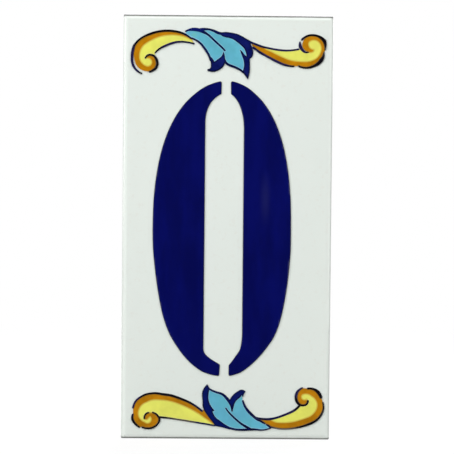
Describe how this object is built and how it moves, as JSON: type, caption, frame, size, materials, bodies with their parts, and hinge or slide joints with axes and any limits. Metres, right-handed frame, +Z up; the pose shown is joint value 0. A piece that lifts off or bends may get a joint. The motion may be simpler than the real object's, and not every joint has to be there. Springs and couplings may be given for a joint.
{
  "type": "number tile",
  "caption": "Upright rectangular glazed ceramic tile with softly rounded front edges, a stencilled figure 0 in dark blue enamel, and a painted scroll-and-leaf band above and below it.",
  "frame": {"origin": "centre of the flat back, on the plane that goes against the wall", "axes": "+Z up the tile as it hangs, +Y out of the back towards the wall, the painted face looks along -Y, +X to the right as the face is looked at"},
  "size_m": [0.074, 0.0083, 0.15],
  "materials": {
    "glazed_body": "clear gloss glaze over a white slip on the face, bare pale biscuit on the back",
    "dark_blue_enamel": "gloss",
    "line_enamel": "gloss",
    "ochre_enamel": "gloss",
    "yellow_enamel": "gloss",
    "turquoise_enamel": "gloss"
  },
  "bodies": {
    "root": {"tile_body": "glazed_body", "figure_zero": "dark_blue_enamel", "brush_lines": "line_enamel", "ochre_bands": "ochre_enamel", "yellow_fields": "yellow_enamel", "turquoise_leaves": "turquoise_enamel"}
  },
  "joints": []
}
